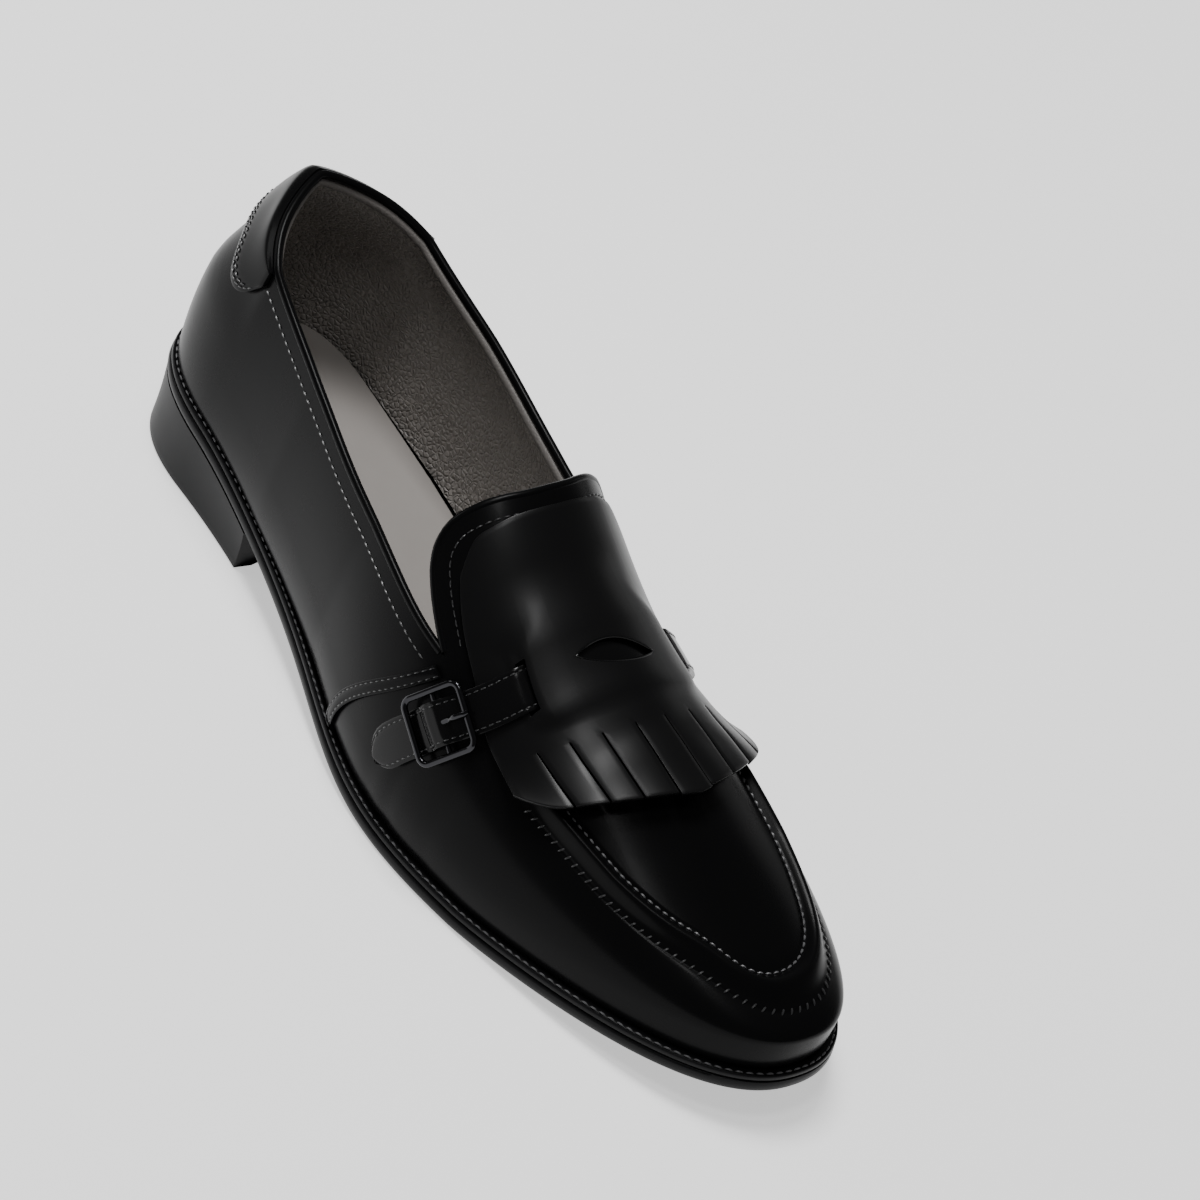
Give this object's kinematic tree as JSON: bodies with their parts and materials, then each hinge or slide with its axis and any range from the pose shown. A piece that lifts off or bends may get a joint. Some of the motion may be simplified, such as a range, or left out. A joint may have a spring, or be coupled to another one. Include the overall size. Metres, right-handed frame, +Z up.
{
  "type": "monk strap shoe",
  "caption": "Right-foot black leather loafer with a buckled monk strap, a fringed flap over the instep, a raised apron seam round the toe and a low heel block.",
  "frame": {"origin": "on the floor, under the middle of the shoe's bounding box", "axes": "+Z up, +Y from the toe to the heel, +X to the inner side of a right foot"},
  "size_m": [0.0992, 0.3, 0.0985],
  "materials": {
    "sole_leather": "dark dressed sole edge, satin",
    "welt_leather": "black dressed welt, semi-gloss",
    "heel_stack": "dark dressed heel block, satin",
    "sock_leather": "smooth grey-taupe sock, matt",
    "upper_leather": "black polished calf, semi-gloss, fine creases",
    "flap_leather": "black calf flap with cut fringe, semi-gloss",
    "strap_leather": "black calf strap, edge-stitched, semi-gloss",
    "buckle_metal": "dark gunmetal, smooth"
  },
  "bodies": {
    "root": {"outsole": "sole_leather", "welt": "welt_leather", "heel_block": "heel_stack", "insole": "sock_leather", "upper": "upper_leather", "heel_tab": "upper_leather", "side_seam_lateral": "upper_leather", "side_seam_medial": "upper_leather", "kiltie": "flap_leather", "strap": "strap_leather", "buckle_frame": "buckle_metal", "buckle_prong": "buckle_metal"}
  },
  "joints": []
}
